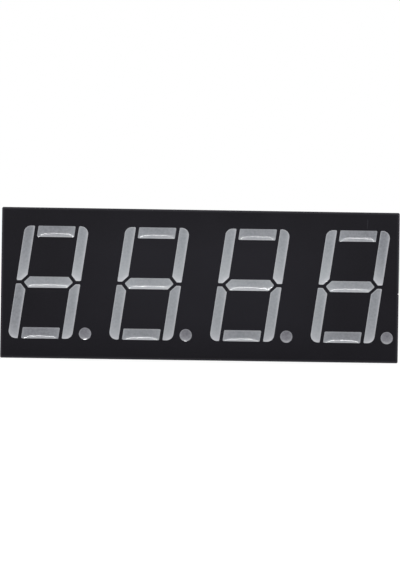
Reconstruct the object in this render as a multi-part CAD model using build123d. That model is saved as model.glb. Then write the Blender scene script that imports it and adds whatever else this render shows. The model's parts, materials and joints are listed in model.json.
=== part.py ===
from build123d import *
import math
import os

# A through-hole LED display: four slanted digits of seven segments, each with a decimal point.
#
# It stands upright on its long lower side. +Z is up for a reader, +X is to the reader's right, and
# the face looks along -Y. The origin is the middle of the housing's back rim, so the body fills
# negative Y and the pins run out along +Y.
#
# A white moulded housing holds one tapered light cavity for each segment, and its face is printed
# black. Each cavity is cast full of translucent epoxy, whose front is a little sunken. Behind them
# sits a circuit board with one LED die to a cavity, and twelve pins whose square roots are pressed
# through it and soldered. The back of the board is potted inside the housing's rim.

# Digits, in mm, as the reader sees them. A digit's widths are those before it is leaned over.
DIGIT_COUNT = 4
DIGIT_HEIGHT = 14.2
DIGIT_WIDTH = 8.09
DIGIT_SPACE = 2.28
SLANT = 8.0
BAR_HEIGHT = 1.39
UPRIGHT_WIDTH = 1.27
SEGMENT_GAP = 0.44
UPRIGHT_GAP = 0.43
MITRE_ANGLE = 43.0
MITRE_GAP = 0.41
MITRE_HEIGHT = 0.93
OUTER_RADIUS = 0.9
LEAST_FLAT = 0.04
POINT_DIAMETER = 1.53
POINT_GAP = 0.8
POINT_DROP = 0.09
DIGITS_SHIFT = -0.09
DIGITS_RISE = 0.09

# Pins: a round shank behind the potting and a thicker square root inside it
PINS_PER_ROW = 6
PIN_PITCH = 2.54
PIN_DIAMETER = 0.5
PIN_REACH = 6.0
PIN_ROW_OUTSET = 0.52
ROOT_STEP = 0.06
SOLDER_SPREAD = 0.39
SOLDER_COLLAR = 0.08
SOLDER_HEIGHT = 0.4

# Housing
END_TRIM = 0.6
BODY_DEPTH = 8.0
WALL = 0.8
CORNER_RADIUS = 0.2
RECESS_RADIUS = 0.3
CAVITY_DRAFT = 3.0
PRINT_THICKNESS = 0.05
CORE_WALL = 1.0
CORE_FACE_WALL = 1.3
CORE_DRAFT = 1.5
NICK_WIDTH = 0.2
NICK_DEPTH = 0.4
NICK_HEIGHT = -0.76

# What fills the cavities and the recess
DISH_DEPTH = 0.12
DISH_LIP = 0.05
BOARD_THICKNESS = 1.0
BOARD_CLEARANCE = 0.1
BOARD_MARGIN = 0.28
POTTING_COVER = 0.45
POTTING_DROP = 0.25
DIE_SIZE = 0.26
DIE_HEIGHT = 0.2
BOND_SPACING = 0.42
WIRE_SIZE = 0.03
WIRE_RISE = 0.14
WIRE_FOOT = 0.06

# Worked out across the face
LEAN = math.tan(math.radians(SLANT))
HALF_HEIGHT = DIGIT_HEIGHT / 2
HALF_WIDTH = DIGIT_WIDTH / 2
HALF_BAR = BAR_HEIGHT / 2
INNER_HALF_WIDTH = HALF_WIDTH - UPRIGHT_WIDTH
MITRE_RUN = math.tan(math.radians(MITRE_ANGLE))
DIGIT_PITCH = DIGIT_WIDTH + POINT_GAP + POINT_DIAMETER + DIGIT_SPACE
PIN_ROW_SPACING = DIGIT_HEIGHT + 2 * PIN_ROW_OUTSET
ROOT_SIZE = PIN_DIAMETER + 2 * ROOT_STEP
SOLDER_SIZE = ROOT_SIZE + 2 * SOLDER_SPREAD
BOARD_LENGTH = DIGIT_COUNT * DIGIT_PITCH - END_TRIM - 2 * (WALL + BOARD_CLEARANCE)
BOARD_HEIGHT = PIN_ROW_SPACING + SOLDER_SIZE + 2 * BOARD_MARGIN
RECESS_LENGTH = BOARD_LENGTH + 2 * BOARD_CLEARANCE
RECESS_HEIGHT = BOARD_HEIGHT + 2 * BOARD_CLEARANCE
BODY_LENGTH = RECESS_LENGTH + 2 * WALL
BODY_HEIGHT = RECESS_HEIGHT + 2 * WALL

# Worked out through the depth, from the back rim towards the face
RIM = 0.0
POTTING_TOP = RIM - POTTING_DROP
BOARD_BACK = POTTING_TOP - POTTING_COVER - SOLDER_HEIGHT
BOARD_FRONT = BOARD_BACK - BOARD_THICKNESS
FACE = RIM - BODY_DEPTH
MOULDED_FACE = FACE + PRINT_THICKNESS

# How dice and hollows are turned about Y, from +X, to lie along a bar or an upright
ALONG_BAR = 0
ALONG_UPRIGHT = SLANT - 90


def across(depth, towards_face=True):
    """A plane across the display at one depth, with x to the reader's right and y up."""
    normal = (0, -1, 0) if towards_face else (0, 1, 0)
    return Plane(origin=(0, depth, 0), x_dir=(1, 0, 0), z_dir=normal)


def prism(flat, front, back):
    """A flat shape, drawn as the reader sees it, made solid from one depth back to another."""
    return extrude(across(back) * flat, amount=back - front)


def drafted(solid, mouth, angle, towards_face=False):
    """Narrows a prism by an angle on every side wall, going away from the plane of its mouth."""
    walls = solid.faces().filter_by(Axis.Y, reverse=True)
    return draft(walls, across(mouth, towards_face), angle)


def block(length, height, radius, front, back):
    return prism(RectangleRounded(length, height, radius), front, back)


def rod(place, diameter, front, back):
    return prism(Pos(*place) * Circle(diameter / 2), front, back)


def square_post(place, size, front, back):
    return prism(Pos(*place) * Rectangle(size, size), front, back)


def lean(x, z):
    """Moves one point of an upright digit to where the slant puts it."""
    return x + z * LEAN, z


def outline(points):
    return make_face(Polyline(*[lean(x, z) for x, z in points], close=True))


def bar_outline(base):
    """The top or bottom segment: a leaning bar whose lower edge is at a given height."""
    reach = INNER_HALF_WIDTH - SEGMENT_GAP
    top = base + BAR_HEIGHT
    return outline([(-reach, base), (reach, base), (reach, top), (-reach, top)])


def middle_outline():
    """The middle segment, pointed at both ends between the mitred uprights."""
    gap_along_bar = MITRE_GAP / math.cos(math.radians(MITRE_ANGLE))
    tip = INNER_HALF_WIDTH + MITRE_HEIGHT * MITRE_RUN - gap_along_bar
    shoulder = tip - HALF_BAR * MITRE_RUN
    upper = [(shoulder, HALF_BAR), (-shoulder, HALF_BAR)]
    lower = [(-shoulder, -HALF_BAR), (shoulder, -HALF_BAR)]
    return outline([(tip, 0)] + upper + [(-tip, 0)] + lower)


def outer_radius():
    """The far outer corner's radius, or less where the upright is too narrow for it.

    Of the two leaning corners the sharper one takes up more of the upright's width.
    """
    reach_per_radius = 1 / math.tan(math.radians((90 - SLANT) / 2))
    return min(OUTER_RADIUS, (UPRIGHT_WIDTH - LEAST_FLAT) / reach_per_radius)


def upright_points(side, level):
    """One upright segment: side is -1 or 1 for left or right, level -1 or 1 for lower or upper."""
    near = UPRIGHT_GAP / 2
    mitre_foot = INNER_HALF_WIDTH + (MITRE_HEIGHT - near) * MITRE_RUN
    quarter = [
        (HALF_WIDTH, near),
        (HALF_WIDTH, HALF_HEIGHT),
        (INNER_HALF_WIDTH, HALF_HEIGHT),
        (INNER_HALF_WIDTH, MITRE_HEIGHT),
        (mitre_foot, near),
    ]
    return [(side * x, level * z) for x, z in quarter]


def rounded_upright(points):
    """An upright's outline with its far outer corner, the second of its points, made round."""
    outer_corner = outline(points).vertices().sort_by_distance(lean(*points[1]))[0]
    return fillet(outer_corner, outer_radius())


def upright_middle(side, level):
    return lean(side * (HALF_WIDTH - UPRIGHT_WIDTH / 2), level * HALF_HEIGHT / 2)


def point_middle():
    """The decimal point's centre, beside the foot of the lower right segment."""
    radius = POINT_DIAMETER / 2
    return lean(HALF_WIDTH + POINT_GAP + radius, radius - HALF_HEIGHT - POINT_DROP)


def trough(width, middle, turn):
    """The round-bottomed hollow that sinks a segment's front, cut by a roller longer than it."""
    half = width / 2 - DISH_LIP
    radius = (half**2 + DISH_DEPTH**2) / (2 * DISH_DEPTH)
    roller = Cylinder(radius, DIGIT_HEIGHT, rotation=(0, 90, 0))
    x, z = middle
    return Pos(x, FACE + DISH_DEPTH - radius, z) * Rot(0, turn, 0) * roller


def cavity(flat):
    """The space behind one window, wide at the face and narrower at the board."""
    return drafted(prism(flat, FACE, BOARD_FRONT), FACE, CAVITY_DRAFT)


def upright_cavity(points):
    """An upright's cavity: drafted walls, and a straight round corner that they run into."""
    return cavity(outline(points)) & prism(rounded_upright(points), FACE, BOARD_FRONT)


def segments():
    """Each segment's cavity, the hollows in its front, its middle and how its die is turned."""
    top = HALF_HEIGHT - BAR_HEIGHT
    bottom = -HALF_HEIGHT
    bars = {
        "a": (bar_outline(top), lean(0, top + HALF_BAR)),
        "d": (bar_outline(bottom), lean(0, bottom + HALF_BAR)),
        "g": (middle_outline(), (0, 0)),
    }
    uprights = {"b": (1, 1), "c": (1, -1), "e": (-1, -1), "f": (-1, 1)}
    upright_across = UPRIGHT_WIDTH * math.cos(math.radians(SLANT))
    shapes = {}
    for name, (flat, middle) in bars.items():
        hollow = trough(BAR_HEIGHT, middle, ALONG_BAR)
        shapes[name] = (cavity(flat), [hollow], middle, ALONG_BAR)
    for name, (side, level) in uprights.items():
        middle = upright_middle(side, level)
        hollow = trough(upright_across, middle, ALONG_UPRIGHT)
        space = upright_cavity(upright_points(side, level))
        shapes[name] = (space, [hollow], middle, ALONG_UPRIGHT)
    middle = point_middle()
    bore = rod(middle, POINT_DIAMETER, FACE, BOARD_FRONT)
    shapes["point"] = (bore, [], middle, ALONG_BAR)
    return dict(sorted(shapes.items()))


def on_board(middle, turn, piece):
    """Puts a piece, drawn round the origin, at a segment's middle and along the segment."""
    x, z = middle
    return Pos(x, 0, z) * Rot(0, turn, 0) * piece


def led_die():
    die = Box(DIE_SIZE, DIE_HEIGHT, DIE_SIZE)
    return Pos(-BOND_SPACING / 2, BOARD_FRONT - DIE_HEIGHT / 2, 0) * die


def bond_wire():
    """A wire up from the middle of the die, and down in one slope to the board beside it."""
    half = WIRE_SIZE / 2
    start, end = -BOND_SPACING / 2, BOND_SPACING / 2
    die_top = BOARD_FRONT - DIE_HEIGHT
    crest = die_top - WIRE_RISE
    foot = BOARD_FRONT - WIRE_FOOT
    outer_side = [
        (start - half, die_top),
        (start - half, crest - WIRE_SIZE),
        (end + half, foot - WIRE_SIZE),
        (end + half, BOARD_FRONT),
    ]
    inner_side = [
        (end - half, BOARD_FRONT),
        (end - half, foot),
        (start + half, crest),
        (start + half, die_top),
    ]
    profile = make_face(Polyline(*outer_side, *inner_side, close=True))
    return extrude(profile, amount=half, both=True)


def digit():
    """One digit round its own centre: its cavities, their fills by name, its dice and its wires."""
    cavities = []
    fills = {}
    dice = []
    wires = []
    for name, (space, hollows, middle, turn) in segments().items():
        die = on_board(middle, turn, led_die())
        wire = on_board(middle, turn, bond_wire())
        cavities.append(space)
        fills[name] = space - hollows - die - wire
        dice.append(die)
        wires.append(wire)
    return cavities, fills, dice, wires


def digit_places():
    first = -(DIGIT_COUNT - 1) / 2 * DIGIT_PITCH + DIGITS_SHIFT
    return [Pos(first + i * DIGIT_PITCH, 0, DIGITS_RISE) for i in range(DIGIT_COUNT)]


def pin_places():
    """Pins 1 to 6 along the lower row from the reader's left, then 7 to 12 back along the upper."""
    half_row = (PINS_PER_ROW - 1) / 2 * PIN_PITCH
    steps = [-half_row + i * PIN_PITCH for i in range(PINS_PER_ROW)]
    half_spacing = PIN_ROW_SPACING / 2
    lower = [(x, -half_spacing) for x in steps]
    upper = [(x, half_spacing) for x in reversed(steps)]
    return lower + upper


def core_pockets():
    """Pockets in the back of the reflector block, inside the loops of a digit, that even its walls.

    Each stops short of the cavities round it by the core wall, and of the face by its own wall.
    """
    half_length = INNER_HALF_WIDTH - CORE_WALL
    low = HALF_BAR + CORE_WALL
    high = HALF_HEIGHT - BAR_HEIGHT - CORE_WALL
    bottom = MOULDED_FACE + CORE_FACE_WALL
    pockets = []
    for level in (1, -1):
        corners = [(-half_length, low), (half_length, low), (half_length, high), (-half_length, high)]
        flat = outline([(x, level * z) for x, z in corners])
        pocket = prism(flat, bottom, BOARD_FRONT)
        pockets.append(drafted(pocket, BOARD_FRONT, CORE_DRAFT, towards_face=True))
    return pockets


def edge_nick():
    """The small chip in the right edge of the face."""
    edge = BODY_LENGTH / 2
    corners = [
        (edge + NICK_WIDTH, NICK_HEIGHT + NICK_WIDTH),
        (edge - NICK_WIDTH, NICK_HEIGHT),
        (edge + NICK_WIDTH, NICK_HEIGHT - NICK_WIDTH),
    ]
    return prism(make_face(Polyline(*corners, close=True)), FACE, FACE + NICK_DEPTH)


def reflector_housing(cavities, pockets):
    shell = block(BODY_LENGTH, BODY_HEIGHT, CORNER_RADIUS, MOULDED_FACE, RIM)
    recess = block(RECESS_LENGTH, RECESS_HEIGHT, RECESS_RADIUS, BOARD_FRONT, RIM)
    return shell - recess - cavities - pockets - edge_nick()


def face_print(cavities):
    layer = block(BODY_LENGTH, BODY_HEIGHT, CORNER_RADIUS, FACE, MOULDED_FACE)
    return layer - cavities - edge_nick()


def pin_root(place):
    return square_post(place, ROOT_SIZE, BOARD_FRONT, POTTING_TOP)


def pin(place):
    return pin_root(place) + rod(place, PIN_DIAMETER, POTTING_TOP, PIN_REACH)


def solder_joint(place):
    """Solder heaped on the back of the board, sloping in to a narrow collar round the pin's root."""
    heap = square_post(place, SOLDER_SIZE, BOARD_BACK, BOARD_BACK + SOLDER_HEIGHT)
    slope = math.degrees(math.atan((SOLDER_SPREAD - SOLDER_COLLAR) / SOLDER_HEIGHT))
    return drafted(heap, BOARD_BACK, slope) - pin_root(place)


def circuit_board(roots):
    """The board, with its corners cut off to clear the round corners of the recess."""
    blank = chamfer(Rectangle(BOARD_LENGTH, BOARD_HEIGHT).vertices(), RECESS_RADIUS)
    return prism(blank, BOARD_FRONT, BOARD_BACK) - roots


def back_potting(roots, joints):
    pour = block(RECESS_LENGTH, RECESS_HEIGHT, RECESS_RADIUS, BOARD_BACK, POTTING_TOP)
    return pour - roots - joints


def build():
    pieces = {}
    all_cavities = []
    all_pockets = []
    cavities, fills, dice, wires = digit()
    pockets = core_pockets()
    for number, place in enumerate(digit_places(), start=1):
        all_cavities += [place * cavity for cavity in cavities]
        all_pockets += [place * pocket for pocket in pockets]
        for name, fill in fills.items():
            pieces[f"digit_{number}_window_{name}"] = place * fill
        pieces[f"digit_{number}_led_dice"] = Compound(children=[place * die for die in dice])
        pieces[f"digit_{number}_bond_wires"] = Compound(children=[place * wire for wire in wires])
    pieces["reflector_housing"] = reflector_housing(all_cavities, all_pockets)
    pieces["face_print"] = face_print(all_cavities)
    places = pin_places()
    for number, place in enumerate(places, start=1):
        pieces[f"pin_{number:02d}"] = pin(place)
    roots = [pin_root(place) for place in places]
    joints = [solder_joint(place) for place in places]
    pieces["circuit_board"] = circuit_board(roots)
    pieces["back_potting"] = back_potting(roots, joints)
    pieces["solder_joints"] = Compound(children=joints)
    return pieces


os.makedirs("parts", exist_ok=True)
for node, piece in build().items():
    export_step(piece, f"parts/{node}.step")
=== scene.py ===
import json
import math
from collections import Counter

import bmesh
import bpy
import numpy as np
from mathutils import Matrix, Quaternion, Vector
from mathutils.geometry import delaunay_2d_cdt, tessellate_polygon


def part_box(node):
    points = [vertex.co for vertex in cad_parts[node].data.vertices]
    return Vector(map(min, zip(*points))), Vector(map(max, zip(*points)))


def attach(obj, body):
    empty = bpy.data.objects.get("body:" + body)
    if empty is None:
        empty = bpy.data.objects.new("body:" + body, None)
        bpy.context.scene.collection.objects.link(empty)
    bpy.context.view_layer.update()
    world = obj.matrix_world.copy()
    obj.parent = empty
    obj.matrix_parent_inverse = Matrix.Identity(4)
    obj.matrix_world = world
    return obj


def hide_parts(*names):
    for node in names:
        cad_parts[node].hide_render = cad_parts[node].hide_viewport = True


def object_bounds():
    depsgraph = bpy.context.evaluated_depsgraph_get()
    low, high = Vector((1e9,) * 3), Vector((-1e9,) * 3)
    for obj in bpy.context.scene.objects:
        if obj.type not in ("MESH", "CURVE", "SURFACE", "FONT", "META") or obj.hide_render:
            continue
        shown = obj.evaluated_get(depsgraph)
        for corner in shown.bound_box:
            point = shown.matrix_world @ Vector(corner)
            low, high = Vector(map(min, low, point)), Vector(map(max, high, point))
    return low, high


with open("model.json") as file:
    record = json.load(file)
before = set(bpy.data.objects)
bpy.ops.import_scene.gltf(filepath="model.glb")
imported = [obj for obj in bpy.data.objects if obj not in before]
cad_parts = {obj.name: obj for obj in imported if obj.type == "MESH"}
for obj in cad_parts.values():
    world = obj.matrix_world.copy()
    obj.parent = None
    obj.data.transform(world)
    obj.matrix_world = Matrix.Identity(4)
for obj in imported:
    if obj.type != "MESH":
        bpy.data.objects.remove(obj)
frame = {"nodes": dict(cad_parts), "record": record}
cad_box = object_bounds()

# All sizes are in mm in the row frame, and a mesh is scaled to metres when it is made.
MM = 0.001
ROOT = "root"

# Depths through the module and places across it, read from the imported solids
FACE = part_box("face_print")[0].y / MM
MOULDED_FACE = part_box("face_print")[1].y / MM
BOARD_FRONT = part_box("circuit_board")[0].y / MM
BOARD_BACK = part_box("circuit_board")[1].y / MM
POTTING_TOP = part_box("back_potting")[1].y / MM
PIN_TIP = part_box("pin_01")[1].y / MM
ROOT_HALF = (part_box("pin_01")[1].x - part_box("pin_01")[0].x) / 2 / MM
RECESS_HALF_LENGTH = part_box("back_potting")[1].x / MM
RECESS_HALF_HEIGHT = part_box("back_potting")[1].z / MM
FACE_HALF_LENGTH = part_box("face_print")[1].x / MM
FACE_HALF_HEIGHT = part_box("face_print")[1].z / MM

# Print: a painted highlight along its rim, a painted sheen that makes the middle of the face paler, and
# its one scratch
RIM_HIGHLIGHT = 0.3
PALER_HALF_LENGTH = (8, 22)
PALER_HALF_HEIGHT = (4, 9)
PALER_SHARE = 0.6
SCRATCH_X = 21.03
SCRATCH_LOW = 7.35
SCRATCH_HIGH = 8.75
SCRATCH_HALF_WIDTH = 0.07
SCRATCH_FADE = 0.3

# Outlines of the windows, and the size of the triangles in their fronts
WINDOW_CORNER = 0.13
SHARP_TURN = math.radians(25)
ARC_STEP = math.radians(12)
WINDOW_STEP = 0.085

# Windows by kind: how much the front curves and ripples, its level of grey, the painted light on its
# lower wall, how much its edge shows through, the painted shade upwards, and how it turns paler at its
# ends
CURVE = {"a": 0.58, "b": 0.46, "c": 0.42, "d": 0.47, "e": 0.42, "f": 0.46, "g": 0.53, "point": 0.48}
ROUGHER = {"a": 0.8, "b": 0.5, "c": 0.5, "d": 0.6, "e": 0.5, "f": 0.5, "point": 0.4}
GREY = {"a": 117, "b": 152, "c": 138, "d": 119, "e": 138, "f": 152, "g": 133, "point": 74}
LOWER_LIGHT = {"a": 0.20, "b": 1.0, "c": 1.0, "d": 0.20, "e": 1.0, "f": 0.88, "g": 0.30, "point": 0.5}
UPWARD_SHADE = {"b": 0.045, "f": 0.045}
PALER_ENDS = {"a": 0.55, "d": 0.35, "g": 0.55}
EDGE_GLOW = {"d": 2.0, "g": 1.6}

# Windows of every kind: the ends of the greys, how far chance spreads each window from its kind,
# the waves in its skin, painted shade towards the display's ends, and how far its painted lower light
# and its edge reach
DARKEST_GREY = 72
PALEST_GREY = 160
GREEN_LEAN = 16
BLUE_LEAN = 9
WINDOW_SEED = 42
CURVE_SPREAD = 0.05
SKEW_SPREAD = 0.12
TONE_SPREAD = 0.03
RIPPLES = 4
RIPPLE_SLOPE = 0.021
RIPPLE_TURN = 0.5
RIPPLE_PACE = (2.2, 8.0)
RIPPLE_CLEAR = 0.3
ENDS_START = 12.0
END_SHADE = 0.002
SLUG_TAPER = 0.31
LOWER_LIGHT_REACH = 1.2
EDGE_REACH = 0.14

# Pins and their solder
RING = 32
PIN_SEED = 3
SHANK_RADIUS = 0.25
TIP_LEAN = 0.02
SOLDER_RADIUS = 0.7
SOLDER_COLLAR = 0.015
SOLDER_TOP = 0.39

# Back potting
RECESS_CORNER = 0.3
OVERLAP = 0.02
WALL_CLIMB = 0.15
WALL_REACH = 0.22
PIN_CLIMB = 0.13
PIN_CLIMB_REACH = 0.16
POUR_WAVE = 0.02
POUR_GRID = 0.6
POUR_EDGE_STEP = 0.35
WALL_INSETS = (0.0, 0.06, 0.14, 0.26, 0.44)
PIN_GAPS = (0.0, 0.04, 0.1, 0.18, 0.3, 0.5)

# Foil on the back of the board
FOIL = 0.035
LAND_RADIUS = 0.86
VIA_RADIUS = 0.3
TRACK_WIDTH = 0.32
BUS_PITCH = 1.1
BUS_COUNT = 8
VIA_STEP = 1.15
DIGIT_PITCH = 12.7

# Camera, placed so that the face's corners fall where the photograph has them
PHOTO_HEIGHT = 570
PX_PER_MM = 7.925
CAMERA_DISTANCE = 350.0
CAMERA_YAW = math.radians(-1.15)
CAMERA_ROLL = math.radians(0.862)
FACE_RIGHT_OF_AXIS = 0.026
FACE_ABOVE_AXIS = -0.024
SENSOR = 36.0

# Light
FRONT_LEVEL = 0.2
UPPER_FRONT_LEVEL = 0.5
FLOOR_GLOW = 0.76
FLOOR_REACH = 3.0


def unit(vector):
    return vector / np.linalg.norm(vector)


def front_outlines(mesh):
    """The closed outlines of a plate's front face, as arrays of (x, z), the widest one first."""
    places = [(round(v.co.x / MM, 4), round(v.co.z / MM, 4)) for v in mesh.vertices]
    uses = Counter()
    for polygon in mesh.polygons:
        if polygon.normal.y < -0.99:
            corners = [places[i] for i in polygon.vertices]
            uses.update(frozenset(pair) for pair in zip(corners, corners[1:] + corners[:1]))
    neighbours = {}
    for edge in (edge for edge, count in uses.items() if count == 1):
        start, end = edge
        neighbours.setdefault(start, []).append(end)
        neighbours.setdefault(end, []).append(start)
    outlines = []
    while neighbours:
        point = next(iter(neighbours))
        outline = []
        while point in neighbours:
            outline.append(point)
            point = next((p for p in neighbours.pop(point) if p in neighbours), None)
        outlines.append(np.array(outline))
    return sorted(outlines, key=lambda outline: -np.ptp(outline[:, 0]))


def with_round_corners(outline, radius):
    """The outline with an arc in place of each of its sharp corners."""
    points = []
    for before, corner, after in zip(np.roll(outline, 1, 0), outline, np.roll(outline, -1, 0)):
        inward, outward = unit(corner - before), unit(after - corner)
        cross = inward[0] * outward[1] - inward[1] * outward[0]
        turn = math.atan2(cross, inward @ outward)
        if abs(turn) < SHARP_TURN:
            points.append(corner)
            continue
        start = corner - inward * radius * math.tan(abs(turn) / 2)
        side = math.copysign(radius, turn) * np.array([-inward[1], inward[0]])
        count = math.ceil(abs(turn) / ARC_STEP)
        for angle in np.linspace(0, turn, count + 1):
            cos, sin = math.cos(angle), math.sin(angle)
            arm = np.array([-side[0] * cos + side[1] * sin, -side[0] * sin - side[1] * cos])
            points.append(start + side + arm)
    return np.array(points)


def spaced(outline, step):
    """The outline with no two neighbouring points further apart than a step."""
    points = []
    for start, end in zip(outline, np.roll(outline, -1, 0)):
        count = max(1, math.ceil(np.linalg.norm(end - start) / step))
        points += [start + (end - start) * i / count for i in range(count)]
    return np.array(points)


def distance_to(outline, points):
    """How far each point is from the nearest side of an outline."""
    start, along = outline, np.roll(outline, -1, 0) - outline
    share = ((points[:, None] - start) * along).sum(2) / (along**2).sum(1)
    nearest = start + np.clip(share, 0, 1)[..., None] * along
    return np.sqrt(((points[:, None] - nearest) ** 2).sum(2)).min(1)


def distance_towards(outline, points, direction):
    """How far each point inside an outline is from it in one direction."""
    ahead = unit(np.array(direction))
    across = np.array([-ahead[1], ahead[0]])
    start, along = outline, np.roll(outline, -1, 0) - outline
    run = along @ across
    run = np.where(np.abs(run) < 1e-9, 1e-9, run)
    share = ((points[:, None] - start) @ across) / run
    gap = (start + share[..., None] * along - points[:, None]) @ ahead
    met = (share > -1e-3) & (share < 1 + 1e-3) & (gap > -1e-3)
    nearest = np.where(met, gap, np.inf).min(1)
    return np.where(np.isfinite(nearest), np.maximum(nearest, 0), 0)


def inside(outline, points):
    """Whether each point is inside an outline, by counting the sides to its right."""
    start, end = outline, np.roll(outline, -1, 0)
    x, z = points[:, :1], points[:, 1:]
    spans = (start[:, 1] > z) != (end[:, 1] > z)
    rise = end[:, 1] - start[:, 1]
    rise = np.where(rise == 0, 1, rise)
    crossing = start[:, 0] + (z - start[:, 1]) * (end[:, 0] - start[:, 0]) / rise
    return (spans & (x < crossing)).sum(1) % 2 == 1


def triangle_grid(outline, step):
    """A grid of points, set as for equal triangles, inside an outline and clear of its sides."""
    low, high = outline.min(0), outline.max(0)
    rows = np.arange(low[1], high[1], step * math.sqrt(3) / 2)
    columns = np.arange(low[0], high[0], step)
    grid = np.array([(x + step / 2 * (i % 2), z) for i, z in enumerate(rows) for x in columns])
    grid = grid[inside(outline, grid)]
    return grid[distance_to(outline, grid) > step * 0.6]


def filled(outline, inner):
    """Points and triangles that fill an outline. The outline's own points come first."""
    points = np.vstack([outline, inner])
    count = len(outline)
    sides = [(i, (i + 1) % count) for i in range(count)]
    made = delaunay_2d_cdt([Vector(p) for p in points], sides, [], 1, 1e-7)
    return np.array([tuple(v) for v in made[0]]), np.array(made[2])


def membrane(points, triangles, clamped):
    """How far an evenly loaded film, held at its first points, gives at each point, in mm**2."""
    corners = points[triangles]
    sides = corners[:, [2, 0, 1]] - corners[:, [1, 2, 0]]
    doubled = np.abs(sides[:, 0, 0] * sides[:, 1, 1] - sides[:, 0, 1] * sides[:, 1, 0])
    count = len(points)
    stiffness = np.zeros((count, count))
    load = np.zeros(count)
    for i in range(3):
        np.add.at(load, triangles[:, i], doubled / 6)
        for j in range(3):
            pull = (sides[:, i] * sides[:, j]).sum(1) / (2 * doubled)
            np.add.at(stiffness, (triangles[:, i], triangles[:, j]), pull)
    give = np.zeros(count)
    give[clamped:] = np.linalg.solve(stiffness[clamped:, clamped:], load[clamped:])
    return give


def at_depth(points, depth):
    """Points across the display, put at one depth or at a depth each."""
    return np.column_stack([points[:, 0], np.broadcast_to(depth, len(points)), points[:, 1]])


def rim_walls(count, front, back):
    """Faces that join a closed row of points to the like row behind it."""
    return [
        [front + i, front + (i + 1) % count, back + (i + 1) % count, back + i] for i in range(count)
    ]


def joined(parts):
    """The vertices and faces of several bodies as one mesh."""
    vertices, faces = [], []
    for body_vertices, body_faces in parts:
        first = sum(len(v) for v in vertices)
        vertices.append(body_vertices)
        faces += [[first + i for i in face] for face in body_faces]
    return np.vstack(vertices), faces


def lofted(rings):
    """A closed body through rings of equally many points, with a flat cap at each end."""
    count = len(rings[0])
    faces = []
    for i in range(len(rings) - 1):
        faces += rim_walls(count, i * count, (i + 1) * count)
    last = (len(rings) - 1) * count
    faces += [list(range(count)), [last + i for i in range(count)]]
    return np.vstack(rings), faces


def plate(outline, front, back):
    return lofted([at_depth(outline, front), at_depth(outline, back)])


def ring_angles():
    return np.arange(RING) * 2 * math.pi / RING


def circle(place, radius):
    angles = ring_angles()
    return np.array(place) + np.column_stack([np.cos(angles), np.sin(angles)]) * radius


def square_reach():
    """How far a square of half size 1 reaches in each of a ring's directions."""
    angles = ring_angles()
    return 1 / np.maximum(np.abs(np.cos(angles)), np.abs(np.sin(angles)))


def square(place, half):
    angles = ring_angles()
    return np.array(place) + np.column_stack([np.cos(angles), np.sin(angles)]) * (
        square_reach()[:, None] * half
    )


def new_piece(name, body, slot, replaced=(), smooth_angle=None, finish=None, **attributes):
    """A closed mesh made in mm, which rides on the root and stands for the nodes it replaces."""
    vertices, faces = body
    mesh = bpy.data.meshes.new(name)
    mesh.from_pydata((vertices * MM).tolist(), [], [[int(i) for i in face] for face in faces])
    for key, values in attributes.items():
        mesh.attributes.new(key, "FLOAT", "POINT").data.foreach_set("value", values)
    tidy = bmesh.new()
    tidy.from_mesh(mesh)
    bmesh.ops.recalc_face_normals(tidy, faces=tidy.faces)
    tidy.to_mesh(mesh)
    tidy.free()
    if smooth_angle is not None:
        mesh.shade_smooth()
        mesh.set_sharp_from_angle(angle=math.radians(smooth_angle))
    mesh.materials.append(MATERIALS[finish or slot])
    piece = bpy.data.objects.new(name, mesh)
    bpy.context.scene.collection.objects.link(piece)
    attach(piece, ROOT)
    if replaced:
        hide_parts(*replaced)
    return piece


def link(tree, value, socket):
    if isinstance(value, bpy.types.NodeSocket):
        tree.links.new(value, socket)
    else:
        socket.default_value = value


def add_node(tree, kind, ordered=(), settings=None, **named):
    """A shader node, with inputs in order or by name, where _ stands for a space."""
    node = tree.nodes.new("ShaderNode" + kind)
    for key, value in (settings or {}).items():
        setattr(node, key, value)
    for socket, value in zip(node.inputs, ordered):
        link(tree, value, socket)
    for key, value in named.items():
        link(tree, value, node.inputs[key.replace("_", " ")])
    return node


def principled(name, **values):
    """A material, its node tree and its shader, with the values that are the same all over."""
    material = bpy.data.materials.new(name)
    material.use_nodes = True
    shader = material.node_tree.nodes["Principled BSDF"]
    for key, value in values.items():
        shader.inputs[key.replace("_", " ")].default_value = value
    return material, material.node_tree, shader


def linear(level):
    share = level / 255
    return share / 12.92 if share <= 0.04045 else ((share + 0.055) / 1.055) ** 2.4


def colour(red, green, blue):
    """A colour from sRGB levels of 0 to 255."""
    return (linear(red), linear(green), linear(blue), 1)


def position(tree):
    """The place on the part in mm."""
    where = add_node(tree, "TexCoord").outputs["Object"]
    return add_node(tree, "VectorMath", [where], {"operation": "SCALE"}, Scale=1 / MM).outputs[0]


def noise(tree, where, scale, detail=2.0, roughness=0.5, stretch=(1, 1, 1)):
    """Noise from 0 to 1 with a number of features to the mm."""
    where = add_node(tree, "VectorMath", [where, stretch], {"operation": "MULTIPLY"}).outputs[0]
    texture = add_node(tree, "TexNoise", Vector=where, Scale=scale, Detail=detail, Roughness=roughness)
    return texture.outputs["Fac"]


def mapped(tree, value, low, high, to_low=0.0, to_high=1.0):
    return add_node(tree, "MapRange", [value, low, high, to_low, to_high]).outputs[0]


def math_node(tree, operation, *values):
    return add_node(tree, "Math", values, {"operation": operation}).outputs[0]


def mixed(tree, factor, first, second):
    node = add_node(tree, "Mix", settings={"data_type": "RGBA"})
    for index, value in ((0, factor), (6, first), (7, second)):
        link(tree, value, node.inputs[index])
    return node.outputs[2]


def bumped(tree, shader, height, depth, **inputs):
    """Raises the surface by a height from 0 to 1 times a depth in mm."""
    bump = add_node(tree, "Bump", Height=height, Distance=depth * MM, **inputs)
    tree.links.new(bump.outputs[0], shader.inputs["Normal"])


def part_of(tree, where, axis):
    return add_node(tree, "SeparateXYZ", [where]).outputs["XYZ".index(axis)]


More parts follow.
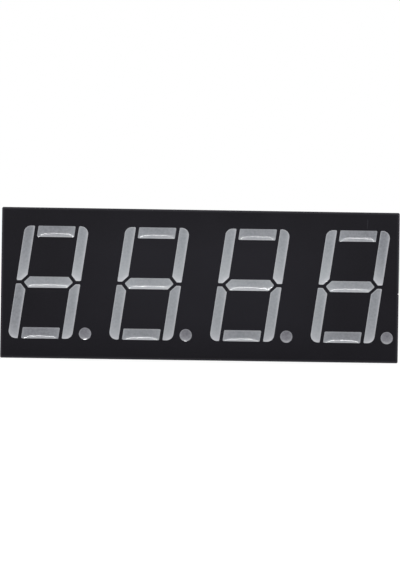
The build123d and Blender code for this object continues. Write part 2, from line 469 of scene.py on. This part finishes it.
def face_ink():
    """Black ink, a little blue: fine grain, slow mottling, a painted sheen, a painted rim highlight and
    one scratch.
    """
    material, tree, shader = principled("face_ink", Roughness=0.5, Specular_IOR_Level=0.12)
    where = position(tree)
    slow = mapped(tree, noise(tree, where, 0.18), 0.3, 0.7)
    fine = mapped(tree, noise(tree, where, 5.0, detail=3.0), 0.35, 0.75, 0, 0.6)
    base = mixed(tree, slow, colour(12, 10, 17), colour(17, 15, 22))
    base = mixed(tree, fine, base, colour(21, 20, 27))
    along, across = (
        math_node(tree, "ABSOLUTE", part_of(tree, where, axis)) for axis in ("X", "Z")
    )
    near, far = PALER_HALF_LENGTH
    low, high = PALER_HALF_HEIGHT
    # Painted sheen: the middle of the face is paler, as the light falls off towards its ends.
    painted_sheen = math_node(
        tree, "MULTIPLY", mapped(tree, along, near, far, PALER_SHARE, 0), mapped(tree, across, high, low)
    )
    base = mixed(tree, painted_sheen, base, colour(28, 27, 34))
    # Painted highlight: a paler strip along the rim, where the face's rounded edge catches light.
    side_rim = mapped(tree, along, FACE_HALF_LENGTH - RIM_HIGHLIGHT, FACE_HALF_LENGTH)
    long_rim = mapped(tree, across, FACE_HALF_HEIGHT - RIM_HIGHLIGHT, FACE_HALF_HEIGHT)
    rim = math_node(tree, "MAXIMUM", side_rim, long_rim)
    base = mixed(tree, rim, base, colour(56, 55, 60))
    base = mixed(tree, scratch_mask(tree, where), base, colour(52, 52, 58))
    tree.links.new(base, shader.inputs["Base Color"])
    bumped(tree, shader, noise(tree, where, 10.0, detail=4.0, roughness=0.6), 0.006)
    return material


def scratch_mask(tree, where):
    """1 along a short upright scratch near the face's upper right corner, and 0 elsewhere."""
    wobble = mapped(tree, noise(tree, where, 1.5), 0, 1, -0.12, 0.12)
    x = math_node(tree, "ADD", part_of(tree, where, "X"), wobble)
    off = math_node(tree, "ABSOLUTE", math_node(tree, "SUBTRACT", x, SCRATCH_X))
    z = part_of(tree, where, "Z")
    line = mapped(tree, off, 0, SCRATCH_HALF_WIDTH, 0.7, 0)
    low = mapped(tree, z, SCRATCH_LOW, SCRATCH_LOW + SCRATCH_FADE)
    high = mapped(tree, z, SCRATCH_HIGH, SCRATCH_HIGH - SCRATCH_FADE)
    return math_node(tree, "MULTIPLY", line, math_node(tree, "MULTIPLY", low, high))


def grey_epoxy(level):
    """The epoxy's grey, which leans to blue, and more to green where it is paler."""
    return colour(level, level + (level - DARKEST_GREY) / GREEN_LEAN, level + BLUE_LEAN)


def window_epoxy():
    """Glossy grey epoxy. The white walls of its cavity show through it beside its edges, and painted
    light makes it paler towards its lower wall, where lamps above light that wall.
    """
    material, tree, shader = principled("window_epoxy", Roughness=0.08, IOR=1.52)
    where = position(tree)
    tone = attribute(tree, "tone")
    lower = attribute(tree, "painted_lower_light")
    edge = attribute(tree, "edge")
    body = mixed(tree, tone, grey_epoxy(DARKEST_GREY), grey_epoxy(PALEST_GREY))
    cloud = mapped(tree, noise(tree, where, 0.5, detail=1.0), 0.3, 0.7, 0, 0.1)
    body = mixed(tree, cloud, body, colour(160, 158, 164))
    grain = mapped(tree, noise(tree, where, 3.5, detail=3.0), 0.3, 0.7, 0, 0.16)
    body = mixed(tree, grain, body, colour(195, 196, 201))
    # Painted light: paler towards the lower wall, which the lamps above light.
    body = mixed(tree, mapped(tree, lower, 0, 1, 0, 0.5), body, colour(212, 212, 217))
    body = mixed(tree, mapped(tree, edge, 0, 2, 0, 0.32), body, colour(190, 191, 196))
    tree.links.new(body, shader.inputs["Base Color"])
    bumped(tree, shader, noise(tree, where, 1.2, detail=1.5), 0.009)
    return material


def attribute(tree, name):
    return add_node(tree, "Attribute", settings={"attribute_name": name}).outputs["Fac"]


def housing_plastic():
    """White moulded plastic, quite matt, with softened edges and a fine moulded grain."""
    material, tree, shader = principled("housing_plastic", Roughness=0.6, Specular_IOR_Level=0.3)
    where = position(tree)
    slow = mapped(tree, noise(tree, where, 0.12), 0.3, 0.7)
    base = mixed(tree, slow, colour(222, 222, 218), colour(231, 231, 228))
    tree.links.new(base, shader.inputs["Base Color"])
    soft = add_node(tree, "Bevel", settings={"samples": 6}, Radius=0.12 * MM).outputs[0]
    bumped(tree, shader, noise(tree, where, 9.0, detail=3.0), 0.004, Normal=soft)
    return material


def potting_epoxy():
    """Poured epoxy, a little milky, with the board showing dimly through it."""
    material, tree, shader = principled(
        "potting_epoxy", Roughness=0.07, IOR=1.52, Transmission_Weight=0.72
    )
    where = position(tree)
    slow = mapped(tree, noise(tree, where, 0.2), 0.3, 0.7)
    base = mixed(tree, slow, colour(226, 224, 208), colour(236, 234, 221))
    tree.links.new(base, shader.inputs["Base Color"])
    bumped(tree, shader, noise(tree, where, 0.5, detail=1.0), 0.04)
    return material


def board_laminate():
    """Green solder mask over glass cloth."""
    return woven("board_laminate", colour(44, 92, 58), colour(54, 106, 68))


def masked_foil():
    """The same green mask where it runs over copper."""
    return woven("masked_foil", colour(76, 132, 82), colour(84, 142, 90))


def woven(name, dark, light):
    material, tree, shader = principled(name, Roughness=0.35)
    where = position(tree)
    warp = noise(tree, where, 2.2, detail=2.0, stretch=(1, 1, 8))
    weft = noise(tree, where, 2.2, detail=2.0, stretch=(8, 1, 1))
    weave = mapped(tree, math_node(tree, "ADD", warp, weft), 0.7, 1.3)
    tree.links.new(mixed(tree, weave, dark, light), shader.inputs["Base Color"])
    bumped(tree, shader, weave, 0.008)
    return material


def metal(name, tone, roughness, grain_scale, grain_depth, stretch=(1, 1, 1)):
    """Bare metal with a grain, which can be drawn out along the part."""
    material, tree, shader = principled(name, Metallic=1.0)
    where = position(tree)
    grain = noise(tree, where, grain_scale, detail=3.0, stretch=stretch)
    base = mixed(tree, grain, colour(*tone), colour(*[min(255, level + 18) for level in tone]))
    tree.links.new(base, shader.inputs["Base Color"])
    spread = mapped(tree, grain, 0.3, 0.7, roughness, roughness + 0.12)
    tree.links.new(spread, shader.inputs["Roughness"])
    bumped(tree, shader, grain, grain_depth)
    return material


def led_die():
    """The dice's pale gold tops."""
    material, tree, shader = principled("led_die", Roughness=0.3)
    base = mixed(tree, noise(tree, position(tree), 8.0), colour(150, 140, 96), colour(170, 160, 118))
    tree.links.new(base, shader.inputs["Base Color"])
    return material


MATERIALS = {
    "face_ink": face_ink(),
    "window_epoxy": window_epoxy(),
    "housing_plastic": housing_plastic(),
    "potting_epoxy": potting_epoxy(),
    "board_laminate": board_laminate(),
    "masked_foil": masked_foil(),
    "tinned_pin": metal("tinned_pin", (204, 203, 199), 0.2, 5.0, 0.006, stretch=(1, 0.06, 1)),
    "solder": metal("solder", (190, 190, 188), 0.26, 4.0, 0.01),
    "bond_wire": metal("bond_wire", (232, 190, 110), 0.2, 20.0, 0.001),
    "led_die": led_die(),
}


def dress_nodes():
    """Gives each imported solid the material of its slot."""
    for row in frame["record"]["subparts"]:
        materials = frame["nodes"][row["node"]].data.materials
        materials.clear()
        materials.append(MATERIALS[row["material_slot"]])


def nodes_of(slot):
    return sorted(r["node"] for r in frame["record"]["subparts"] if r["material_slot"] == slot)


def middle_of(node):
    low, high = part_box(node)
    return np.array([low.x + high.x, low.z + high.z]) / 2 / MM


def ripple(points, random):
    """Slow waves that the epoxy's skin set with, in mm."""
    height = np.zeros(len(points))
    for _ in range(RIPPLES):
        angle, phase = random.uniform(-RIPPLE_TURN, RIPPLE_TURN), random.uniform(0, 7)
        pace = random.uniform(*RIPPLE_PACE)
        along = points @ np.array([math.cos(angle), math.sin(angle)])
        height += RIPPLE_SLOPE / pace * np.sin(along * pace + phase)
    return height


def cast_window(node, outline, random):
    """One cast slug of epoxy: its sunken glossy front, tapered walls and a flat back."""
    name = node.split("_")[-1]
    curve = CURVE[name] * (1 + random.uniform(-CURVE_SPREAD, CURVE_SPREAD))
    skew = random.uniform(-SKEW_SPREAD, SKEW_SPREAD, 2)
    tone = linear(GREY[name]) - linear(DARKEST_GREY)
    tone /= linear(PALEST_GREY) - linear(DARKEST_GREY)
    tone += random.uniform(-TONE_SPREAD, TONE_SPREAD)
    points, triangles = filled(outline, triangle_grid(outline, WINDOW_STEP))
    count = len(outline)
    offset = (points - points.mean(0)) / np.ptp(points, 0)
    depth = membrane(points, triangles, count) * curve * (1 + offset @ skew)
    held = np.clip(distance_to(outline, points) / RIPPLE_CLEAR, 0, 1)
    depth += ripple(points, random) * held * ROUGHER.get(name, 1)
    middle = outline.mean(0)
    foot = middle + (outline - middle) * (1 - 2 * SLUG_TAPER / np.ptp(outline, 0))
    first = len(points)
    faces = [*triangles, *rim_walls(count, 0, first), range(first, first + count)]
    vertices = np.vstack([at_depth(points, FACE + depth), at_depth(foot, BOARD_FRONT)])
    to_lower = distance_towards(outline, points, (0, -1))
    rise = points[:, 1] - outline[:, 1].min()
    # Painted shade: some windows grow darker upwards.
    tone = tone - rise * UPWARD_SHADE.get(name, 0) + offset[:, 0] ** 2 * PALER_ENDS.get(name, 0)
    # Painted shade: darker towards the display's ends, where less light falls.
    tone -= np.maximum(0, np.abs(points[:, 0]) - ENDS_START) ** 2 * END_SHADE
    shades = {
        "tone": np.maximum(0, tone),
        # Painted light of the lower wall, kept as an attribute for the material.
        "painted_lower_light": np.exp(-to_lower / LOWER_LIGHT_REACH) * LOWER_LIGHT[name],
        "edge": np.exp(-distance_to(outline, points) / EDGE_REACH) * EDGE_GLOW.get(name, 1),
    }
    padded = {key: np.append(values, np.zeros(count)) for key, values in shades.items()}
    new_piece(
        f"{node}_cast", (vertices, faces), "window_epoxy", [node], smooth_angle=50, **padded
    )


def cast_windows(holes):
    """A slug in each window, found for each hole in the print by its middle."""
    random = np.random.default_rng(WINDOW_SEED)
    for node in nodes_of("window_epoxy"):
        middle = middle_of(node)
        hole = min(holes, key=lambda h: np.linalg.norm((h.min(0) + h.max(0)) / 2 - middle))
        cast_window(node, spaced(hole, WINDOW_STEP), random)


def print_film(edge, holes):
    """The black print, as a thin film with an opening for each window."""
    loops = [edge, *holes]
    flat = np.vstack(loops)
    triangles = tessellate_polygon([[Vector((x, z, 0)) for x, z in loop] for loop in loops])
    count = len(flat)
    faces = [list(t) for t in triangles] + [[i + count for i in t] for t in triangles]
    first = 0
    for loop in loops:
        faces += [[first + i for i in face] for face in rim_walls(len(loop), 0, count)]
        first += len(loop)
    vertices = np.vstack([at_depth(flat, FACE), at_depth(flat, MOULDED_FACE)])
    new_piece("face_film", (vertices, faces), "face_ink", ["face_print"])


def pin_body(place, random):
    """A square root that narrows into a round shank, and a tip left by the shears."""
    lean = random.uniform(-TIP_LEAN, TIP_LEAN, 2)
    return lofted([
        at_depth(square(place, ROOT_HALF), BOARD_FRONT),
        at_depth(square(place, ROOT_HALF), POTTING_TOP - 0.2),
        at_depth(circle(place, SHANK_RADIUS * 1.12), POTTING_TOP - 0.06),
        at_depth(circle(place, SHANK_RADIUS), POTTING_TOP),
        at_depth(circle(place, SHANK_RADIUS), PIN_TIP - 0.3),
        at_depth(circle(place, SHANK_RADIUS * 0.985), PIN_TIP - 0.17),
        at_depth(circle(place + lean / 2, SHANK_RADIUS * 0.86), PIN_TIP - 0.06),
        at_depth(circle(place + lean, SHANK_RADIUS * 0.62), PIN_TIP - 0.01),
        at_depth(circle(place + lean, SHANK_RADIUS * 0.45), PIN_TIP),
    ])


def solder_body(place, random):
    """A hollow-sided heap of solder, round at the board and square where it meets the root."""
    angles = ring_angles()
    spread = SOLDER_RADIUS * (1 + 0.035 * np.sin(angles + random.uniform(0, 7)))
    spread *= 1 + 0.02 * np.sin(2 * angles + random.uniform(0, 7))
    top = SOLDER_TOP * random.uniform(0.88, 1.0)
    collar = square_reach() * (ROOT_HALF + SOLDER_COLLAR)
    rings = []
    for share in np.linspace(0, 1, 9):
        weight = (1 - share) ** 2.3
        reach = np.minimum(spread, SOLDER_RADIUS) * weight + collar * (1 - weight)
        arms = np.column_stack([np.cos(angles), np.sin(angles)]) * reach[:, None]
        rings.append(at_depth(place + arms, BOARD_BACK + share * top))
    return lofted(rings)


def set_pins():
    random = np.random.default_rng(PIN_SEED)
    pins = nodes_of("tinned_pin")
    for pin in pins:
        body = pin_body(middle_of(pin), random)
        new_piece(f"{pin}_wire", body, "tinned_pin", [pin], smooth_angle=32)
    heaps = joined([solder_body(middle_of(pin), random) for pin in pins])
    new_piece("solder_fillets", heaps, "solder", ["solder_joints"], smooth_angle=40)


def rounded_box(half_length, half_height, radius):
    corners = [(1, 1, 0), (-1, 1, 90), (-1, -1, 180), (1, -1, 270)]
    points = []
    for x, z, start in corners:
        middle = np.array([x * (half_length - radius), z * (half_height - radius)])
        for angle in np.radians(np.linspace(start, start + 90, 7)):
            points.append(middle + radius * np.array([math.cos(angle), math.sin(angle)]))
    return np.array(points)


def pour_back():
    """The potting, whose surface waves a little and climbs up the walls and the pins."""
    recess = rounded_box(RECESS_HALF_LENGTH, RECESS_HALF_HEIGHT, RECESS_CORNER)
    outline = spaced(
        rounded_box(RECESS_HALF_LENGTH + OVERLAP, RECESS_HALF_HEIGHT + OVERLAP, RECESS_CORNER),
        POUR_EDGE_STEP,
    )
    pins = np.array([middle_of(pin) for pin in nodes_of("tinned_pin")])
    inner = [triangle_grid(outline, POUR_GRID)]
    for inset in WALL_INSETS:
        ring = rounded_box(
            RECESS_HALF_LENGTH - inset, RECESS_HALF_HEIGHT - inset, max(0.05, RECESS_CORNER - inset)
        )
        inner.append(spaced(ring, 0.3))
    for place in pins:
        inner += [circle(place, SHANK_RADIUS + gap) for gap in PIN_GAPS]
    points, triangles = filled(outline, np.vstack(inner))
    to_wall = distance_to(recess, points)
    to_wall[~inside(recess, points)] = 0
    to_pin = np.linalg.norm(points[:, None] - pins, axis=2).min(1) - SHANK_RADIUS
    wave = np.sin(points[:, 0] * 0.31 + 1) * np.sin(points[:, 1] * 0.55 + 2)
    rise = WALL_CLIMB * np.exp(-to_wall / WALL_REACH)
    rise += PIN_CLIMB * np.exp(-np.maximum(to_pin, 0) / PIN_CLIMB_REACH) + POUR_WAVE * wave
    count = len(outline)
    first = len(points)
    faces = [*triangles, *rim_walls(count, 0, first), range(first, first + count)]
    vertices = np.vstack([
        at_depth(points, POTTING_TOP + rise), at_depth(outline, BOARD_BACK - OVERLAP / 2)
    ])
    new_piece("potting_pour", (vertices, faces), "potting_epoxy", ["back_potting"], smooth_angle=50)


def track(points):
    """A strip of foil of even width along a line of points."""
    line = np.array(points, float)
    steps = np.diff(line, axis=0)
    steps /= np.linalg.norm(steps, axis=1)[:, None]
    ahead = np.vstack([steps, steps[-1:]])
    behind = np.vstack([steps[:1], steps])
    sides = np.column_stack([-(ahead + behind)[:, 1], (ahead + behind)[:, 0]])
    sides /= np.linalg.norm(sides, axis=1)[:, None]
    bend = (sides * np.column_stack([-ahead[:, 1], ahead[:, 0]])).sum(1)
    sides *= TRACK_WIDTH / 2 / bend[:, None]
    outline = np.vstack([line + sides, (line - sides)[::-1]])
    return plate(outline, BOARD_BACK, BOARD_BACK + FOIL)


def lay_foil():
    """The board's buses, the tracks from the pins to them, and tinned lands and vias."""
    pins = [middle_of(pin) for pin in nodes_of("tinned_pin")]
    levels = [(i - (BUS_COUNT - 1) / 2) * BUS_PITCH for i in range(BUS_COUNT)]
    shifts = [VIA_STEP * ((i * 3) % BUS_COUNT - (BUS_COUNT - 1) / 2) for i in range(BUS_COUNT)]
    middles = [(digit - 1.5) * DIGIT_PITCH for digit in range(4)]
    tracks = [
        track([(middles[0] + shift, z), (middles[-1] + shift, z)]) for z, shift in zip(levels, shifts)
    ]
    lands = [plate(circle(pin, LAND_RADIUS), BOARD_BACK, BOARD_BACK + FOIL) for pin in pins]
    vias = []
    for i, pin in enumerate(pins):
        side = math.copysign(1, pin[1])
        bus = (i * 3) % 4
        level = side * BUS_PITCH * (bus + 0.5)
        shift = 0.8 * (1 if i % 2 else -1)
        bend = pin[1] - side * (1.2 + 0.25 * (i % 3))
        tracks.append(track([
            pin, (pin[0], bend), (pin[0] + shift, bend - side * abs(shift)), (pin[0] + shift, level)
        ]))
        vias.append((pin[0] + shift, level))
    vias += [(middle + shift, z) for middle in middles for z, shift in zip(levels, shifts)]
    new_piece("board_tracks", joined(tracks), "board_laminate", finish="masked_foil")
    pads = [plate(circle(via, VIA_RADIUS), BOARD_BACK, BOARD_BACK + FOIL * 1.3) for via in vias]
    new_piece("board_lands", joined(lands + pads), "solder")


def seen_as_background(tree):
    """1 for glossy rays, and 1 for camera and transmitted rays, and else 0 for each."""
    path = add_node(tree, "LightPath")
    seen = math_node(
        tree, "MAXIMUM", path.outputs["Is Camera Ray"], path.outputs["Is Transmission Ray"]
    )
    return path.outputs["Is Glossy Ray"], seen


def floor_white():
    """A pale floor that shows as white, and keeps the part's shadow.

    In front of the part it is reflected as dim, for that half of the studio is dark.
    """
    material, tree, shader = principled("floor_white", Roughness=1.0, Specular_IOR_Level=0.0)
    shader.inputs["Base Color"].default_value = colour(228, 228, 228)
    glossy, seen = seen_as_background(tree)
    where = add_node(tree, "NewGeometry").outputs["Position"]
    dim = mapped(tree, part_of(tree, where, "Y"), -0.012, 0.01, FRONT_LEVEL, 1.0)
    weight = math_node(tree, "MAXIMUM", seen, math_node(tree, "MULTIPLY", glossy, dim))
    both = math_node(tree, "MAXIMUM", seen, glossy)
    strength = math_node(tree, "MULTIPLY", weight, FLOOR_GLOW)
    glow = add_node(tree, "Emission", Color=(1, 1, 1, 1), Strength=strength)
    under = add_node(tree, "BsdfDiffuse", Color=colour(150, 150, 150))
    shown = add_node(tree, "AddShader", [glow.outputs[0], under.outputs[0]])
    mix = add_node(tree, "MixShader", [both, shader.outputs[0], shown.outputs[0]])
    tree.links.new(mix.outputs[0], tree.nodes["Material Output"].inputs["Surface"])
    return material


def add_floor():
    level = cad_box[0].z
    signs = [(-1, -1), (1, -1), (1, 1), (-1, 1)]
    corners = [(x * FLOOR_REACH, y * FLOOR_REACH, level) for x, y in signs]
    mesh = bpy.data.meshes.new("floor")
    mesh.from_pydata(corners, [], [(0, 1, 2, 3)])
    mesh.materials.append(floor_white())
    floor = bpy.data.objects.new("floor", mesh)
    bpy.context.scene.collection.objects.link(floor)


def add_world():
    """A white room whose front half is dim, and which shows as white where it is seen."""
    world = bpy.data.worlds.new("studio")
    bpy.context.scene.world = world
    world.use_nodes = True
    tree = world.node_tree
    tree.nodes.clear()
    seen = seen_as_background(tree)[1]
    ray = add_node(tree, "TexCoord").outputs["Generated"]
    front = mapped(tree, part_of(tree, ray, "Z"), 0.15, 0.7, FRONT_LEVEL, UPPER_FRONT_LEVEL)
    behind = mapped(tree, part_of(tree, ray, "Y"), -0.35, 0.05)
    strength = math_node(tree, "MAXIMUM", seen, math_node(tree, "MAXIMUM", front, behind))
    back = add_node(tree, "Background", Color=(1, 1, 1, 1), Strength=strength)
    out = tree.nodes.new("ShaderNodeOutputWorld")
    tree.links.new(back.outputs[0], out.inputs["Surface"])


def add_softbox(name, azimuth, elevation, distance, width, height, radiance):
    """A rectangular lamp that faces the part, placed by its direction from the face's middle."""
    data = bpy.data.lights.new(name, "AREA")
    data.shape = "RECTANGLE"
    data.size = width * MM
    data.size_y = height * MM
    data.energy = radiance * math.pi * data.size * data.size_y
    lamp = bpy.data.objects.new(name, data)
    turn, rise = math.radians(azimuth), math.radians(elevation)
    back = Vector((math.sin(turn) * math.cos(rise), -math.cos(turn) * math.cos(rise), math.sin(rise)))
    lamp.location = (Vector((0, FACE, 0)) + back * distance) * MM
    lamp.rotation_mode = "QUATERNION"
    lamp.rotation_quaternion = back.to_track_quat("Z", "Y")
    lamp.visible_camera = False
    bpy.context.scene.collection.objects.link(lamp)


def add_camera():
    """A long lens looking at the face, placed so that the face falls where the photograph has it."""
    data = bpy.data.cameras.new("camera")
    camera = bpy.data.objects.new("camera", data)
    data.sensor_width = SENSOR
    data.lens = SENSOR * CAMERA_DISTANCE * PX_PER_MM / PHOTO_HEIGHT
    data.clip_start = 0.01
    data.clip_end = 10.0
    back = Vector((math.sin(CAMERA_YAW), -math.cos(CAMERA_YAW), 0))
    turn = Quaternion(back, CAMERA_ROLL) @ back.to_track_quat("Z", "Y")
    right, up = turn @ Vector((1, 0, 0)), turn @ Vector((0, 1, 0))
    target = Vector((0, FACE, 0)) - right * FACE_RIGHT_OF_AXIS - up * FACE_ABOVE_AXIS
    camera.location = (target + back * CAMERA_DISTANCE) * MM
    camera.rotation_mode = "QUATERNION"
    camera.rotation_quaternion = turn
    bpy.context.scene.collection.objects.link(camera)
    bpy.context.scene.camera = camera


add_camera()
dress_nodes()
edge, *holes = front_outlines(frame["nodes"]["face_print"].data)
holes = [with_round_corners(hole, WINDOW_CORNER) for hole in holes]
print_film(edge, holes)
cast_windows(holes)
set_pins()
pour_back()
lay_foil()
add_floor()
add_world()
add_softbox("broad_box", 0, 35, 420, 390, 225, 2.2)
add_softbox("bright_strip", 0, 18.8, 420, 280, 10, 50.0)
add_softbox("low_strip", 0, 13, 420, 390, 60, 1.2)
bpy.context.scene.view_settings.view_transform = "Standard"
